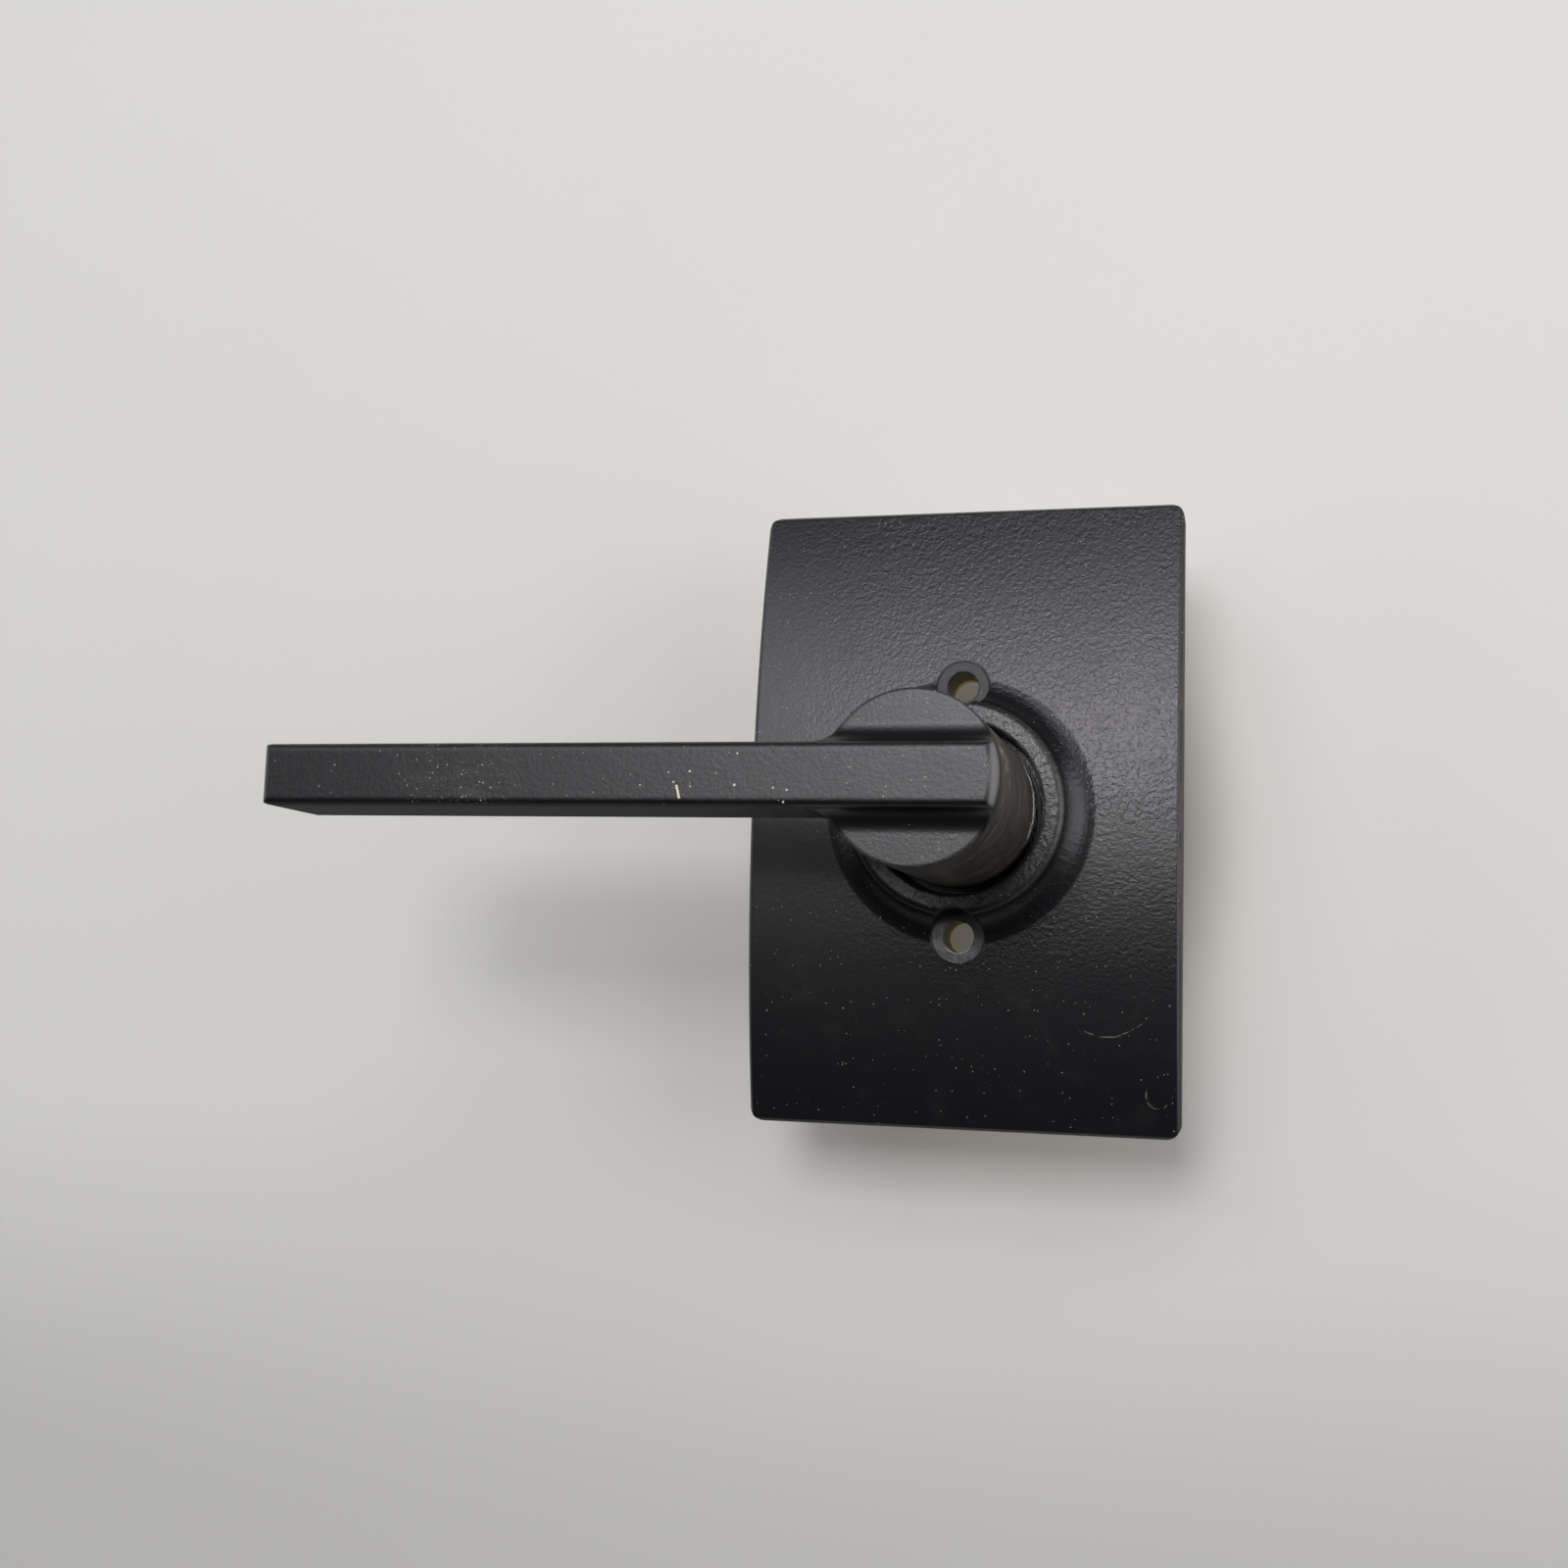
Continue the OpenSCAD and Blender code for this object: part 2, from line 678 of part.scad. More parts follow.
// An open ring, sprung into the neck's groove from one side
module retaining_ring() {
  color([0.3, 0.3, 0.32])
    on_door()
      difference() {
        rod(ring_in_r + ring_w, ring_z - ring_t - fit_gap, ring_z - fit_gap);
        rod(ring_in_r, ring_z - ring_t - 1, ring_z + 1);
        translate([-ring_in_r * 0.55, -ring_in_r - ring_w - 1, ring_z - ring_t - 1])
          cube([ring_in_r * 1.1, ring_in_r + ring_w, ring_t + 2]);
      }
}

module spindle() {
  color([0.74, 0.74, 0.76])
    on_door()
      difference() {
        intersection() {
          translate([-spindle_w / 2, -spindle_w / 2, -spindle_reach])
            cube([spindle_w, spindle_w, spindle_reach + socket_depth - fit_gap]);
          union() {
            rod(spindle_w, -spindle_reach + 1.5, socket_depth);
            translate([0, 0, -spindle_reach])
              cylinder(h = 1.5, r1 = spindle_w * 0.56, r2 = spindle_w * 0.56 + 1.5);
          }
        }
        translate([0, 0, pin_z])
          rotate([0, 90, 0])
            cylinder(h = 2 * neck_r, r = pin_r + fit_gap / 2, center = true);
      }
}

module spindle_pin() {
  color([0.5, 0.5, 0.52])
    on_door()
      translate([0, 0, pin_z])
        rotate([0, 90, 0])
          cylinder(h = 2 * neck_r - 1, r = pin_r, center = true);
}

rose();
lever();
bushing();
wave_washer();
mounting_sleeves();
back_plate();
back_plate_screws();
spring_cage();
cage_rivets();
return_spring();
drive_plate();
thrust_washer();
retaining_ring();
spindle();
spindle_pin();
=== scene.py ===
import json
import math

import bpy
from mathutils import Matrix, Vector


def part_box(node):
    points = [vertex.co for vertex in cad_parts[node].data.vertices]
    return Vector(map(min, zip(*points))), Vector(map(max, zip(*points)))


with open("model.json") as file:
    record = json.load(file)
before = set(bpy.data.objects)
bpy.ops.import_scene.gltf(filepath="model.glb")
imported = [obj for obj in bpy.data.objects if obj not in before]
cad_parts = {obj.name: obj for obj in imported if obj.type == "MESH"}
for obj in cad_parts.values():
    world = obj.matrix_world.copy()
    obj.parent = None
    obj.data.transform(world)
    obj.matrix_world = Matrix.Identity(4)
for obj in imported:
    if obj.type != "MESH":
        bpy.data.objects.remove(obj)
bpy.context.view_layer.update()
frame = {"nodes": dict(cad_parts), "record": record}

NODES = frame["nodes"]
SCENE = bpy.context.scene

# Sizes of the part, in metres. +Y runs into the door, so what stands out has the lower y
RIGHT_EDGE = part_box("rose")[1].x
BAR_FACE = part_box("lever")[0].y
SCREWS = next(mount["dims"] for mount in frame["record"]["mounts"] if mount["name"] == "door_screws")
HOLE_Z = SCREWS["spacing_y_mm"] / 2000.0
HOLE_R = SCREWS["hole_r_mm"] / 1000.0
SEAT_R = 0.0044
RIM_R = 0.0177
SHANK_R = 0.0129

# Camera, solved from the rose's edges, the screw holes, the hub and the bar in the photograph
PHOTO_WIDTH = 1600.0
FOCAL_PIXELS = 1874.5
SENSOR_WIDTH = 36.0
CAMERA_PLACE = Vector((0.0486784, -0.3080368, -0.0325346))
CAMERA_RIGHT = Vector((0.96718039, 0.25204165, 0.03220406))
CAMERA_DOWN = Vector((0.00086741, 0.12346651, -0.99234836))
CAMERA_AHEAD = Vector((-0.25408924, 0.95980781, 0.11919576))


def make_camera():
    data = bpy.data.cameras.new("camera")
    data.sensor_width = SENSOR_WIDTH
    data.lens = FOCAL_PIXELS / PHOTO_WIDTH * SENSOR_WIDTH
    data.clip_start = 0.005
    data.clip_end = 20.0
    place = Matrix.Identity(4)
    for column, axis in enumerate((CAMERA_RIGHT, -CAMERA_DOWN, -CAMERA_AHEAD)):
        for row in range(3):
            place[row][column] = axis[row]
    place.translation = CAMERA_PLACE
    cam = bpy.data.objects.new("camera", data)
    SCENE.collection.objects.link(cam)
    cam.matrix_world = place
    SCENE.camera = cam


# A small helper that builds shader graphs. A mask is a number from 0 to 1 that varies over the surface
class Graph:
    def __init__(self, tree, output, coordinates):
        self.tree = tree
        self.tree.nodes.clear()
        self.out = self.node(output)
        self.coord = self.node("ShaderNodeTexCoord").outputs[coordinates]
        split = self.node("ShaderNodeSeparateXYZ")
        self.link(self.coord, split.inputs[0])
        self.x, self.y, self.z = split.outputs

    def node(self, kind, **props):
        made = self.tree.nodes.new(kind)
        for key, value in props.items():
            setattr(made, key, value)
        return made

    def link(self, a, b):
        self.tree.links.new(a, b)

    def put(self, value, socket):
        if isinstance(value, bpy.types.NodeSocket):
            self.link(value, socket)
        elif isinstance(value, tuple) and len(value) == 3 and socket.type == "RGBA":
            socket.default_value = (*value, 1.0)
        else:
            socket.default_value = value

    def math(self, op, *values):
        made = self.node("ShaderNodeMath", operation=op)
        for value, socket in zip(values, made.inputs):
            self.put(value, socket)
        return made.outputs[0]

    # Product of all its values
    def mul(self, first, *others):
        made = first
        for value in others:
            made = self.math("MULTIPLY", made, value)
        return made

    # Sum of all its values
    def add(self, first, *others):
        made = first
        for value in others:
            made = self.math("ADD", made, value)
        return made

    def top(self, a, b):
        return self.math("MAXIMUM", a, b)

    def length(self, a, b):
        return self.math("SQRT", self.add(self.mul(a, a), self.mul(b, b)))

    # 0 at lo and below, 1 at hi and above, smooth between; lo may lie above hi
    def ramp(self, value, lo, hi, to_lo=0.0, to_hi=1.0):
        made = self.node("ShaderNodeMapRange", interpolation_type="SMOOTHSTEP")
        self.put(value, made.inputs["Value"])
        for name, number in (("From Min", lo), ("From Max", hi), ("To Min", to_lo), ("To Max", to_hi)):
            made.inputs[name].default_value = number
        return made.outputs["Result"]

    # 1 between the two limits, with soft ends
    def band(self, value, lo, hi, soft):
        return self.mul(self.ramp(value, lo - soft, lo), self.ramp(value, hi + soft, hi))

    def noise(self, scale, detail=2.0, rough=0.5, distort=0.0, vector=None):
        made = self.node("ShaderNodeTexNoise")
        self.link(vector or self.coord, made.inputs["Vector"])
        made.inputs["Scale"].default_value = scale
        made.inputs["Detail"].default_value = detail
        made.inputs["Roughness"].default_value = rough
        made.inputs["Distortion"].default_value = distort
        return made.outputs["Fac"]

    # Noise with a scale of its own along each axis
    def drawn_noise(self, scales, detail, rough, distort=0.0):
        made = self.node("ShaderNodeVectorMath", operation="MULTIPLY")
        self.link(self.coord, made.inputs[0])
        made.inputs[1].default_value = scales
        return self.noise(1.0, detail, rough, distort, vector=made.outputs[0])

    def cells(self, scale, feature="F1"):
        made = self.node("ShaderNodeTexVoronoi", feature=feature)
        self.link(self.coord, made.inputs["Vector"])
        made.inputs["Scale"].default_value = scale
        return made.outputs["Distance"]

    # Dust and lint: a few cells of a fine pattern, picked by their own random colour
    def specks(self, scale, size, sparse, seed):
        moved = self.node("ShaderNodeVectorMath", operation="ADD")
        self.link(self.coord, moved.inputs[0])
        moved.inputs[1].default_value = (seed, 0.37 * seed, 0.73 * seed)
        cells = self.node("ShaderNodeTexVoronoi", feature="F1")
        self.link(moved.outputs[0], cells.inputs["Vector"])
        cells.inputs["Scale"].default_value = scale
        pick = self.node("ShaderNodeSeparateXYZ")
        self.link(cells.outputs["Color"], pick.inputs[0])
        spot = self.math("LESS_THAN", cells.outputs["Distance"], self.mul(pick.outputs[1], size))
        return self.mul(spot, self.math("GREATER_THAN", pick.outputs[0], sparse))

    def mix(self, fac, a, b):
        made = self.node("ShaderNodeMix", data_type="RGBA")
        self.put(fac, made.inputs["Factor"])
        self.put(a, made.inputs[6])
        self.put(b, made.inputs[7])
        return made.outputs[2]

    # Lay a second colour over the first where the mask says
    def paint(self, color, over, mask, strength=1.0):
        return self.mix(self.mul(mask, strength), color, over)

    def blend(self, fac, a, b):
        made = self.node("ShaderNodeMix", data_type="FLOAT")
        self.put(fac, made.inputs["Factor"])
        self.put(a, made.inputs[2])
        self.put(b, made.inputs[3])
        return made.outputs[0]

    # Distance from a point of the part, in metres
    def far(self, point):
        made = self.node("ShaderNodeVectorMath", operation="DISTANCE")
        self.link(self.coord, made.inputs[0])
        made.inputs[1].default_value = point
        return made.outputs["Value"]

    # Distance from the lever's axis, in metres
    def radius(self):
        return self.length(self.x, self.z)

    # Normal with its edges softened by edge_radius and bumped by height; distance is in metres
    def relief(self, height, distance, strength, edge_radius):
        bevel = self.node("ShaderNodeBevel", samples=6)
        bevel.inputs["Radius"].default_value = edge_radius
        bump = self.node("ShaderNodeBump")
        bump.inputs["Distance"].default_value = distance
        bump.inputs["Strength"].default_value = strength
        self.link(height, bump.inputs["Height"])
        self.link(bevel.outputs["Normal"], bump.inputs["Normal"])
        return bump.outputs["Normal"]

    def surface(self, shader):
        self.link(shader, self.out.inputs["Surface"])

    def shade(self, color, roughness, normal, metallic=0.0, **fixed):
        made = self.node("ShaderNodeBsdfPrincipled")
        self.put(color, made.inputs["Base Color"])
        self.put(roughness, made.inputs["Roughness"])
        self.put(metallic, made.inputs["Metallic"])
        self.link(normal, made.inputs["Normal"])
        for name, value in fixed.items():
            made.inputs[name.replace("_", " ")].default_value = value
        self.surface(made.outputs[0])

    # The first shader where the mask is 0, the second where it is 1
    def choose(self, mask, a, b):
        made = self.node("ShaderNodeMixShader")
        for value, socket in zip((mask, a, b), made.inputs):
            self.link(value, socket)
        return made.outputs[0]


# A new material and the graph that fills it, in the part's own coordinates
def new_material(name):
    mat = bpy.data.materials.new(name)
    mat.use_nodes = True
    return mat, Graph(mat.node_tree, "ShaderNodeOutputMaterial", "Object")


# The black coat mirrors with a faint violet tinge
COAT_TINT = (0.985, 0.955, 1.0, 1.0)
COAT_SPECULAR = 0.5
# How far the coat's roughness drifts to either side
COAT_DRIFT = 0.03
ROUGH_CAST = 0.335
ROUGH_LEVER = 0.36

# Hairs on the rose: each lies on a circle with this middle (x, z) and radius, bulges towards a
# direction and runs as far round as reach says, from 1 for a point to -1 for the whole circle
HAIRS = [((0.01481, 0.00972), 0.00100, (0.960, -0.281), -0.28),
         ((0.02384, -0.02835), 0.00769, (0.155, -0.988), 0.81),
         ((0.03201, -0.04504), 0.00194, (-0.603, -0.798), -0.08),
         ((-0.01840, 0.05233), 0.00813, (0.748, -0.664), 0.969)]
HAIR_HALF_WIDTH = 0.00004
HAIR_SOFT = 0.00006
HAIR_WAVE = 0.0007


# Mask of one thin, broken, slightly wavy hair
def hair_mask(g, middle, size, toward, reach):
    dx = g.add(g.x, -middle[0])
    dz = g.add(g.z, -middle[1])
    wave = g.mul(g.add(g.noise(420.0, 1.0), -0.5), HAIR_WAVE)
    away = g.add(g.length(dx, dz), wave)
    line = g.band(away, size - HAIR_HALF_WIDTH, size + HAIR_HALF_WIDTH, HAIR_SOFT)
    turn = g.add(g.mul(dx, toward[0]), g.mul(dz, toward[1]))
    arc = g.ramp(turn, size * reach - 0.0001, size * reach + 0.0001)
    broken = g.ramp(g.noise(900.0, 2.0), 0.42, 0.62)
    return g.mul(line, arc, broken)


# Height of the cast skin: orange peel, coarser and drawn out sideways low on the right, and fading
# out towards the left and the bottom
def orange_peel(g):
    peel = g.noise(1450.0, 1.5, 0.5, distort=0.6)
    streak = g.drawn_noise((1150.0, 1300.0, 1850.0), 1.5, 0.5, distort=0.5)
    coarse = g.mul(g.ramp(g.x, 0.014, 0.021), g.band(g.z, -0.016, -0.006, 0.007))
    height = g.blend(coarse, g.mul(peel, 1.15), g.mul(streak, 0.62))
    from_left = g.ramp(g.add(g.x, g.mul(g.z, 0.25)), -0.036, 0.004, 0.14, 1.1)
    from_bottom = g.ramp(g.z, -0.034, -0.014, 0.10, 1.0)
    return g.mul(height, from_left, from_bottom)


# Masks of the flat screw seats, of a fine groove round each, and of a bare lip at the bottom of the
# lower screw hole; the lip is painted pale as a painted glint
def screw_hole_masks(g):
    from_hole = g.length(g.x, g.add(g.math("ABSOLUTE", g.z), -HOLE_Z))
    front = g.ramp(g.y, -0.0085, -0.0092)
    seat = g.mul(g.ramp(from_hole, SEAT_R - 0.00008, SEAT_R - 0.00018), front)
    groove = g.mul(g.band(from_hole, SEAT_R, SEAT_R + 0.00012, 0.00008), front)
    lip_glint = g.mul(g.band(from_hole, HOLE_R - 0.0001, HOLE_R + 0.00012, 0.00005),
                g.ramp(g.z, -HOLE_Z - 0.0015, -HOLE_Z - 0.0018),
                g.ramp(g.noise(1100.0, 2.0), 0.36, 0.44))
    return seat, groove, lip_glint


# Black powder coat on the cast rose: orange peel, dust, lint and a worn right-hand edge
def black_cast():
    mat, g = new_material("black_cast")
    cloud = g.noise(60.0, 3.0, 0.55)
    color = g.mix(cloud, (0.0026, 0.0024, 0.0034), (0.0056, 0.0052, 0.0068))
    film = g.mul(g.ramp(g.noise(150.0, 5.0, 0.65), 0.52, 0.76), 0.12)
    color = g.paint(color, (0.016, 0.015, 0.014), film)
    # the rim round the shank is rubbed a little paler in patches, and painted paler towards the right
    # as a painted highlight
    rim = g.mul(g.band(g.radius(), 0.0140, RIM_R + 0.0001, 0.0004), g.ramp(g.y, -0.0150, -0.0164))
    rim_rub_and_highlight = g.mul(rim, g.ramp(g.noise(900.0, 3.0, 0.6), 0.36, 0.66, 0.55, 1.0))
    rim_rub_and_highlight = g.mul(rim_rub_and_highlight, g.ramp(g.x, 0.002, 0.0125, 0.05, 0.45))
    color = g.paint(color, (0.060, 0.058, 0.057), rim_rub_and_highlight)
    # the right-hand edge has lost its coat in a thin brown line
    wall = g.ramp(g.x, RIGHT_EDGE - 0.00025, RIGHT_EDGE - 0.00008)
    worn = g.mul(wall, g.ramp(g.y, -0.0094, -0.0104), g.ramp(g.noise(160.0, 4.0, 0.6), 0.36, 0.50))
    color = g.paint(color, (0.10, 0.055, 0.030), worn, 0.7)
    # the screw seats are smudged; the lower seat is chalky pale on its lower side, real smears painted
    # paler as a painted highlight
    seat, groove, lip_glint = screw_hole_masks(g)
    smudge = g.mul(seat, g.ramp(g.noise(700.0, 3.0, 0.6), 0.35, 0.65, 0.3, 0.8))
    color = g.paint(color, (0.0125, 0.0125, 0.0145), smudge)
    # painted highlight: the chalky smear on the lower seat is painted paler than the smear itself
    chalk_and_highlight = g.mul(smudge, g.ramp(g.add(g.z, g.mul(g.x, 0.6)), -0.0175, -0.0225))
    color = g.paint(color, (0.150, 0.150, 0.160), chalk_and_highlight)
    # painted glint: the bare lip is painted pale and partly metallic
    color = g.paint(color, (0.62, 0.58, 0.50), lip_glint, 0.9)
    dust = g.top(g.specks(1150.0, 0.125, 0.40, 1.3), g.specks(470.0, 0.066, 0.68, 4.1))
    color = g.paint(color, (0.52, 0.50, 0.47), dust, 0.62)
    for hair in HAIRS:
        color = g.paint(color, (0.40, 0.38, 0.36), hair_mask(g, *hair), 0.42)
    rough = g.blend(cloud, ROUGH_CAST + COAT_DRIFT, ROUGH_CAST - COAT_DRIFT)
    rough = g.blend(g.mul(film, 1.6), rough, 0.60)
    rough = g.blend(g.mul(seat, 0.9), rough, 0.52)
    rough = g.blend(dust, rough, 0.9)
    rough = g.blend(wall, rough, 0.75)
    # the rim is pebbled
    pebble = g.ramp(g.cells(1000.0, "SMOOTH_F1"), 0.1, 0.75, 1.0, 0.0)
    height = g.add(g.mul(orange_peel(g), g.ramp(seat, 0.0, 1.0, 1.0, 0.12)),
                   g.mul(pebble, rim, 0.4),
                   g.mul(g.noise(420.0, 2.0), 0.12),
                   g.mul(dust, 0.4),
                   g.mul(groove, -2.2))
    g.shade(color, rough, g.relief(height, 0.00011, 0.72, 0.00045), metallic=g.mul(lip_glint, 0.7),
            Specular_IOR_Level=COAT_SPECULAR, Specular_Tint=COAT_TINT)
    return mat


# A cream nick across the bar's face: middle (x, z), half its length and width, and its direction
NICK = (-0.03313, -0.00265)
NICK_HALF_LENGTH = 0.00095
NICK_HALF_WIDTH = 0.00014
NICK_ALONG = (0.259, -0.966)
NICK_ACROSS = (0.966, 0.259)
# Small pale chips beside it: x, z, how far the surface lies behind the bar's face, and radius
CHIPS = [(-0.02470, -0.00165, 0.0, 0.00022), (-0.01894, -0.00204, 0.0, 0.00014),
         (-0.01692, -0.00238, 0.0, 0.00017), (-0.01744, -0.00406, 0.0001, 0.00016),
         (-0.03140, 0.00035, 0.0, 0.00017), (-0.03460, 0.00015, 0.0, 0.00011),
         (-0.03380, -0.00120, 0.0, 0.00015), (-0.03890, -0.00170, 0.0, 0.00011),
         (-0.02440, 0.00290, 0.0, 0.00012), (-0.03130, -0.00190, 0.0, 0.00009)]
SCUFF = (-0.0675, BAR_FACE, 0.0012)
# A tan patch and a painted glint of bright bare metal on the right of the shank, near its hub and at
# its foot
TAN_PATCH = (0.0122, -0.0478, 0.0042)
FOOT_GLINT_PATCH = (0.0125, -0.0115, 0.0015)


# The shank, rubbed down to a brown, turned surface with paler scratches round it. With the new
# colour come the turning marks, and the masks of the brown metal, of the foot and of its bare metal,
# which is painted near white as a painted glint
def shank_marks(g, color, side_r):
    outside = g.ramp(side_r, SHANK_R + 0.0007, SHANK_R + 0.0002)
    shank = g.mul(g.ramp(side_r, SHANK_R - 0.0002, SHANK_R - 0.0001), outside,
                  g.ramp(g.y, BAR_FACE + 0.0047, BAR_FACE + 0.0057))
    turned = g.drawn_noise((130.0, 620.0, 130.0), 5.0, 0.72)
    brown = g.mul(shank, g.ramp(turned, 0.30, 0.62, 0.30, 1.0))
    color = g.paint(color, (0.034, 0.029, 0.021), brown)
    scratch = g.mul(shank, g.ramp(g.drawn_noise((120.0, 1700.0, 120.0), 4.0, 0.7), 0.56, 0.65))
    color = g.paint(color, (0.22, 0.20, 0.16), scratch, 0.7)
    tan = g.mul(g.ramp(g.far(TAN_PATCH), 0.0060, 0.0015), shank,
                g.ramp(g.noise(620.0, 3.0, 0.6), 0.50, 0.58))
    color = g.paint(color, (0.30, 0.23, 0.14), tan, 0.75)
    foot = g.mul(g.ramp(side_r, SHANK_R - 0.0008, SHANK_R - 0.0006), outside,
                 g.ramp(g.y, -0.01840, -0.01760), g.ramp(g.far(FOOT_GLINT_PATCH), 0.0095, 0.0060))
    # painted glint: bare metal at the foot, painted near white so that it shows where little light
    # reaches
    foot_glint = g.mul(foot, g.ramp(g.drawn_noise((700.0, 900.0, 700.0), 3.0, 0.6), 0.45, 0.50))
    color = g.paint(color, (0.90, 0.88, 0.84), foot_glint)
    return color, turned, brown, foot, foot_glint


# Mask of the nick; ragged shifts its outline a little
def nick_mask(g, ragged):
    dx = g.add(g.x, -NICK[0])
    dz = g.add(g.z, -NICK[1])
    along = g.add(g.mul(dx, NICK_ALONG[0]), g.mul(dz, NICK_ALONG[1]), ragged)
    across = g.add(g.mul(dx, NICK_ACROSS[0]), g.mul(dz, NICK_ACROSS[1]), ragged)
    return g.mul(g.band(along, -NICK_HALF_LENGTH, NICK_HALF_LENGTH, 0.00012),
                 g.band(across, -NICK_HALF_WIDTH, NICK_HALF_WIDTH, 0.00008))


# The bar's face: a scuffed patch of fine pale specks and brownish smears, a nick and chips. With the
# new colour come the masks of the specks, and of the nick and the chips
def bar_marks(g, color):
    face = g.ramp(g.y, BAR_FACE + 0.0013, BAR_FACE + 0.0005)
    scuff = g.mul(g.ramp(g.far(SCUFF), 0.0125, 0.0045), face)
    grit = g.mul(scuff, g.specks(2500.0, 0.36, 0.20, 3.3), g.ramp(g.noise(420.0, 3.0, 0.6), 0.36, 0.52))
    bright = g.mul(scuff, g.specks(1500.0, 0.20, 0.45, 5.7), g.ramp(g.noise(300.0, 2.0), 0.42, 0.56))
    smear = g.mul(scuff, g.ramp(g.drawn_noise((160.0, 500.0, 700.0), 4.0, 0.7), 0.48, 0.70))
    color = g.paint(color, (0.085, 0.075, 0.066), smear, 0.22)
    color = g.paint(color, (0.26, 0.25, 0.25), grit, 0.75)
    color = g.paint(color, (0.60, 0.57, 0.54), bright, 0.85)
    ragged = g.add(g.mul(g.noise(2600.0, 2.0), 0.0002), -0.0001)
    nick = g.mul(nick_mask(g, ragged), face)
    color = g.paint(color, (0.68, 0.63, 0.49), nick)
    for x, z, behind, size in CHIPS:
        away = g.add(g.far((x, BAR_FACE + behind, z)), g.mul(ragged, 1.6))
        chip = g.ramp(away, 0.72 * size + 0.00010, 0.60 * size)
        color = g.paint(color, (0.70, 0.69, 0.66), chip, 0.9)
        nick = g.top(nick, chip)
    # the rounded end of the bar, over the hub, is painted paler as a painted highlight
    end_highlight = g.mul(g.ramp(g.x, 0.0114, 0.0121), g.ramp(g.y, BAR_FACE + 0.0025, BAR_FACE + 0.0017),
                g.band(g.z, -0.0040, 0.0040, 0.0008))
    color = g.paint(color, (0.105, 0.104, 0.108), end_highlight, 0.9)
    return color, grit, nick


# Satin black on the lever
def black_lever():
    mat, g = new_material("black_lever")
    cloud = g.noise(45.0, 3.0, 0.55)
    side_r = g.radius()
    color = g.mix(cloud, (0.0028, 0.0026, 0.0035), (0.0060, 0.0056, 0.0068))
    color, turned, brown, foot, foot_glint = shank_marks(g, color, side_r)
    color, grit, nick = bar_marks(g, color)
    dust = g.top(g.specks(900.0, 0.10, 0.50, 2.2), g.specks(400.0, 0.07, 0.78, 6.4))
    color = g.paint(color, (0.44, 0.42, 0.38), dust, 0.5)
    rough = g.blend(cloud, ROUGH_LEVER + COAT_DRIFT, ROUGH_LEVER - COAT_DRIFT)
    rough = g.blend(brown, rough, 0.40)
    rough = g.blend(foot_glint, rough, 0.30)
    rough = g.blend(g.top(grit, nick), rough, 0.75)
    # the bar's underside is duller
    under = g.mul(g.ramp(g.z, -0.0044, -0.0047), g.ramp(side_r, 0.0155, 0.0175))
    rough = g.blend(under, rough, 0.82)
    height = g.add(g.noise(1700.0, 3.0, 0.6),
                   g.mul(g.noise(260.0, 2.0), 0.6),
                   g.mul(brown, turned, 0.8),
                   g.mul(nick, -2.0),
                   g.mul(foot, g.noise(2000.0, 2.0), 7.0))
    g.shade(color, rough, g.relief(height, 0.00006, 0.7, 0.0008), metallic=g.mul(foot_glint, 0.35),
            Specular_IOR_Level=COAT_SPECULAR, Specular_Tint=COAT_TINT)
    return mat


# Yellow chromate over steel: gold with faint green and pink clouds
def yellow_zinc():
    mat, g = new_material("yellow_zinc")
    cloud = g.noise(110.0, 4.0, 0.6, distort=0.8)
    color = g.mix(cloud, (0.62, 0.46, 0.19), (0.70, 0.60, 0.34))
    color = g.paint(color, (0.50, 0.50, 0.26), g.ramp(g.noise(70.0, 2.0), 0.52, 0.70), 0.5)
    color = g.paint(color, (0.66, 0.36, 0.26), g.ramp(g.noise(53.0, 3.0), 0.55, 0.72), 0.4)
    grime_and_hole_shade = g.mul(g.ramp(g.noise(95.0, 5.0, 0.7), 0.50, 0.74), 0.35)
    grime_and_hole_shade = g.top(grime_and_hole_shade, g.mul(g.specks(330.0, 0.16, 0.80, 2.9), 0.5))
    # inside the screw holes the sleeves are duller and painted dark, a painted shade in the holes
    hole_shade = g.mul(g.ramp(g.math("ABSOLUTE", g.x), 0.0045, 0.0040), g.ramp(g.y, -0.0018, -0.0024))
    grime_and_hole_shade = g.top(grime_and_hole_shade, g.mul(hole_shade, 0.85))
    color = g.paint(color, (0.075, 0.058, 0.034), grime_and_hole_shade, 0.9)
    rough = g.blend(grime_and_hole_shade, g.blend(cloud, 0.30, 0.42), 0.65)
    scratch = g.drawn_noise((2200.0, 300.0, 160.0), 3.0, 0.6)
    height = g.add(g.mul(scratch, 0.6), g.noise(900.0, 2.0))
    g.shade(color, rough, g.relief(height, 0.00002, 0.5, 0.00015), metallic=0.92)
    return mat


# Satin zinc on pressed and turned steel
def zinc_steel():
    mat, g = new_material("zinc_steel")
    color = g.mix(g.noise(160.0, 4.0, 0.6), (0.50, 0.51, 0.53), (0.66, 0.66, 0.67))
    stain = g.ramp(g.noise(240.0, 5.0, 0.7), 0.60, 0.75)
    color = g.paint(color, (0.22, 0.19, 0.15), stain, 0.5)
    spangle = g.cells(700.0)
    rough = g.blend(stain, g.ramp(spangle, 0.1, 0.8, 0.30, 0.44), 0.6)
    line = g.drawn_noise((300.0, 2400.0, 300.0), 2.0, 0.5)
    height = g.add(line, g.mul(spangle, 0.4))
    g.shade(color, rough, g.relief(height, 0.00002, 0.5, 0.00018), metallic=0.95)
    return mat


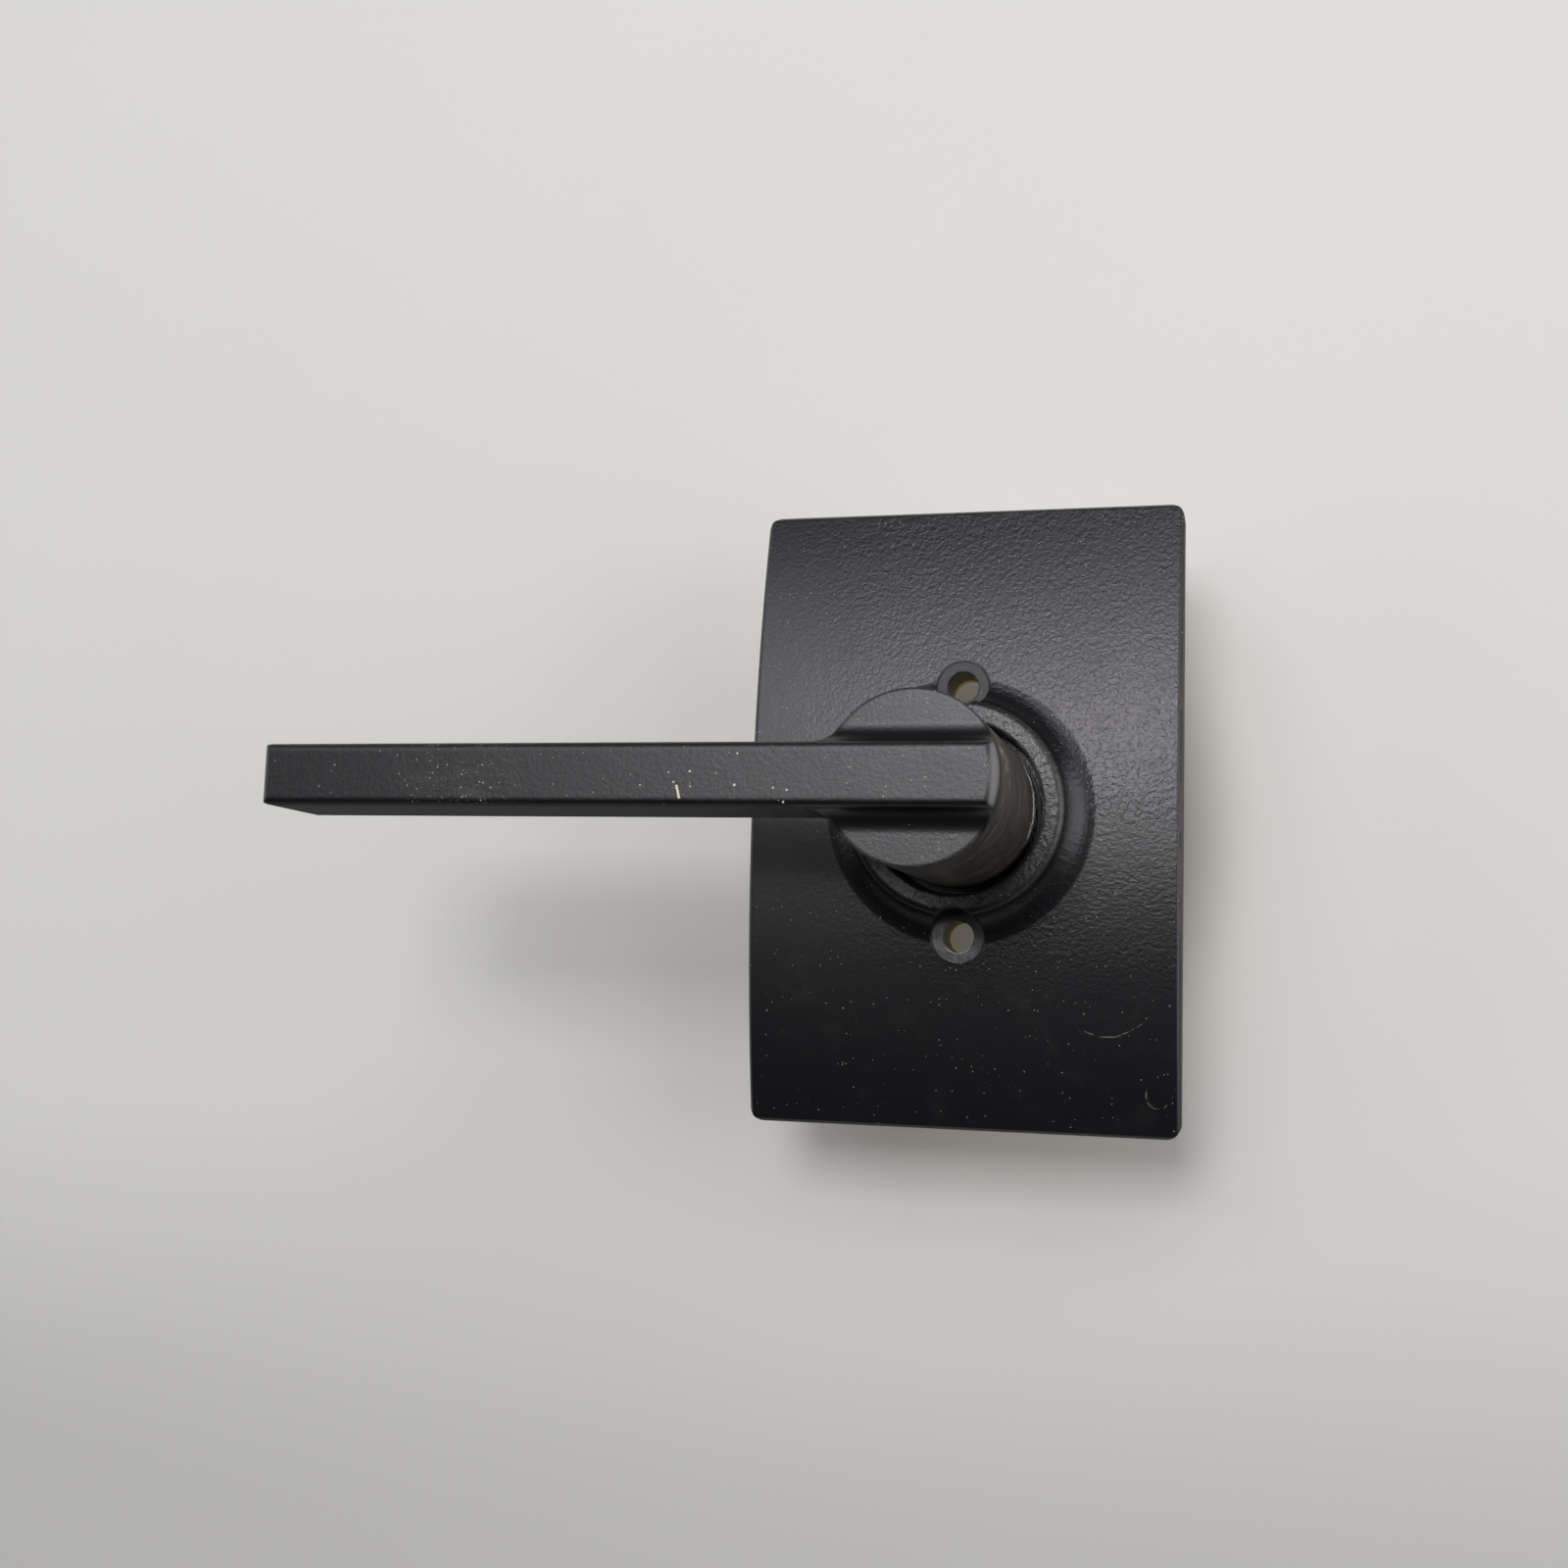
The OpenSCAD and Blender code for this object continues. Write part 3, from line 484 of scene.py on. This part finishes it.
# Oiled spring wire with drawing marks
def spring_steel():
    mat, g = new_material("spring_steel")
    color = g.mix(g.noise(260.0, 3.0, 0.6), (0.27, 0.27, 0.28), (0.46, 0.45, 0.44))
    oil = g.ramp(g.noise(190.0, 2.0), 0.5, 0.66)
    color = g.paint(color, (0.20, 0.16, 0.10), oil, 0.4)
    rough = g.blend(oil, 0.38, 0.18)
    g.shade(color, rough, g.relief(g.noise(2600.0, 2.0), 0.00001, 0.6, 0.0001), metallic=0.96)
    return mat


# Black phosphate on the retaining ring
def dark_steel():
    mat, g = new_material("dark_steel")
    color = g.mix(g.noise(420.0, 4.0, 0.65), (0.030, 0.030, 0.033), (0.085, 0.084, 0.086))
    rub = g.ramp(g.noise(130.0, 3.0), 0.58, 0.68)
    color = g.paint(color, (0.30, 0.29, 0.28), rub, 0.6)
    rough = g.blend(rub, 0.62, 0.35)
    g.shade(color, rough, g.relief(g.noise(1900.0, 3.0), 0.000015, 0.8, 0.00015), metallic=0.7)
    return mat


# Moulded black nylon, finely etched
def nylon():
    mat, g = new_material("nylon")
    color = g.mix(g.noise(180.0, 3.0), (0.018, 0.018, 0.019), (0.034, 0.033, 0.032))
    rough = g.blend(g.noise(520.0, 3.0), 0.42, 0.60)
    g.shade(color, rough, g.relief(g.noise(2400.0, 2.0), 0.00002, 0.6, 0.00015))
    return mat


# Each function above is named after the record's material slot that it fills
def dress():
    makers = (black_cast, black_lever, yellow_zinc, zinc_steel, spring_steel, dark_steel, nylon)
    made = {maker.__name__: maker() for maker in makers}
    for part in frame["record"]["subparts"]:
        node = NODES[part["node"]]
        node.data.materials.clear()
        node.data.materials.append(made[part["material_slot"]])


# Sheet of quads from rows of points
def sheet(name, rows):
    wide = len(rows[0])
    faces = [(i * wide + k, i * wide + k + 1, (i + 1) * wide + k + 1, (i + 1) * wide + k)
             for i in range(len(rows) - 1) for k in range(wide - 1)]
    mesh = bpy.data.meshes.new(name)
    mesh.from_pydata([point for row in rows for point in row], [], faces)
    mesh.update()
    for face in mesh.polygons:
        face.use_smooth = True
    made = bpy.data.objects.new(name, mesh)
    SCENE.collection.objects.link(made)
    return made


# Height of the floor and place of the backdrop, which meet in a bend
FLOOR_Z = -0.45
BACK_Y = 0.0285
BEND_R = 0.09
BEND_STEPS = 12
BACK_TOP = 0.9
BACK_HALF_WIDTH = 0.9
FLOOR_HALF_WIDTH = 4.0
# The backdrop's foot lies this far above the floor, so that the two don't coincide
FOOT_LIFT = 0.0004


# Pale paper, faintly mottled, with painted shade that darkens it low down. Both sheets fade into the
# pale surroundings far out. The backdrop shows one side only, casts no shadow and has a painted
# shadow, a dark disc where the part stands over it. In front of the part the floor is left out of
# reflections
def paper(name, backdrop):
    mat, g = new_material(name)
    color = g.mix(g.noise(9.0, 3.0), (0.67, 0.662, 0.645), (0.70, 0.692, 0.675))
    # painted shade: the paper is darker low down
    color = g.paint(color, (0.50, 0.494, 0.484), g.ramp(g.z, -0.045, -0.135, 0.0, 0.85))
    path = g.node("ShaderNodeLightPath").outputs
    if backdrop:
        # painted shadow: the backdrop is darker in a disc behind the part
        color = g.paint(color, (0.34, 0.335, 0.325), g.ramp(g.radius(), 0.050, 0.022))
        facing_away = g.node("ShaderNodeNewGeometry").outputs["Backfacing"]
        hidden = g.top(facing_away, path["Is Shadow Ray"])
        fade = g.ramp(g.radius(), 0.26, 0.45)
    else:
        indirect = g.top(path["Is Glossy Ray"], path["Is Diffuse Ray"])
        hidden = g.mul(indirect, g.ramp(g.y, 0.0, -0.12))
        fade = g.ramp(g.length(g.x, g.y), 0.30, 0.85)
    matt = g.node("ShaderNodeBsdfDiffuse")
    g.link(color, matt.inputs["Color"])
    clear = g.node("ShaderNodeBsdfTransparent")
    g.surface(g.choose(g.top(hidden, fade), matt.outputs[0], clear.outputs[0]))
    return mat


def stage():
    ends = (-FLOOR_HALF_WIDTH, FLOOR_HALF_WIDTH)
    floor = sheet("floor", [[(x, y, FLOOR_Z) for x in ends] for y in ends])
    floor.data.materials.append(paper("floor_paper", backdrop=False))
    middle_y = BACK_Y - BEND_R
    middle_z = FLOOR_Z + FOOT_LIFT + BEND_R
    turns = [math.radians(90.0 * i / BEND_STEPS) for i in range(BEND_STEPS + 1)]
    profile = [(middle_y + BEND_R * math.sin(t), middle_z - BEND_R * math.cos(t)) for t in turns]
    profile.append((BACK_Y, BACK_TOP))
    sides = (-BACK_HALF_WIDTH, BACK_HALF_WIDTH)
    back = sheet("backdrop", [[(x, y, z) for x in sides] for y, z in profile])
    back.data.materials.append(paper("backdrop_paper", backdrop=True))


# A square soft box one metre from the middle of the part, and aimed at it. Azimuth 0 is in front of
# the part and 90 on its right, half_angle is half of what the box spans, and power is in watts
def soft_box(name, azimuth, elevation, half_angle, power, color=(1.0, 1.0, 1.0)):
    turn = math.radians(azimuth)
    lift = math.radians(elevation)
    place = Vector((math.sin(turn) * math.cos(lift), -math.cos(turn) * math.cos(lift), math.sin(lift)))
    data = bpy.data.lights.new(name, "AREA")
    data.shape = "SQUARE"
    data.size = 2.0 * math.tan(math.radians(half_angle))
    data.energy = power
    data.color = color
    made = bpy.data.objects.new(name, data)
    SCENE.collection.objects.link(made)
    made.location = place
    made.rotation_mode = "QUATERNION"
    made.rotation_quaternion = (-place).to_track_quat("-Z", "Y")
    made.visible_camera = False


# Dim grey for diffuse light; pale for what is seen directly or mirrored from the sides and behind,
# and dark for what the part mirrors in front of it
def surroundings():
    world = bpy.data.worlds.new("world")
    SCENE.world = world
    world.use_nodes = True
    g = Graph(world.node_tree, "ShaderNodeOutputWorld", "Generated")

    def background(color, strength):
        made = g.node("ShaderNodeBackground")
        g.put(color, made.inputs["Color"])
        g.put(strength, made.inputs["Strength"])
        return made.outputs[0]

    path = g.node("ShaderNodeLightPath").outputs
    pale = background((0.68, 0.67, 0.64), 1.0)
    dark = background((0.9, 0.95, 1.0), 0.02)
    dim = background((0.96, 0.97, 1.0), 0.05)
    mirrored = g.choose(g.ramp(g.y, 0.25, -0.05), pale, dark)
    indirect = g.choose(g.top(path["Is Glossy Ray"], path["Is Transmission Ray"]), dim, mirrored)
    g.surface(g.choose(path["Is Camera Ray"], indirect, pale))


def lights():
    soft_box("key", -2.5, 14.5, 8.5, 4.05, (1.0, 0.995, 0.98))
    soft_box("low_key", -18.0, 4.0, 8.0, 0.5)
    soft_box("upper", 5.0, 35.0, 10.0, 1.2)
    soft_box("upper_right", 30.0, 35.0, 10.0, 0.7)
    soft_box("upper_left", -25.0, 25.0, 10.0, 1.1)
    soft_box("left", -75.0, 20.0, 26.0, 3.8, (0.96, 0.97, 1.0))
    soft_box("right", 74.0, 6.0, 25.0, 5.5)
    soft_box("right_front", 46.0, 4.0, 14.0, 1.4)
    soft_box("rear_right", 145.0, 30.0, 16.0, 1.2)
    soft_box("rear_left", 205.0, 20.0, 16.0, 1.0)
    surroundings()


make_camera()
dress()
stage()
lights()
SCENE.view_settings.view_transform = "Standard"
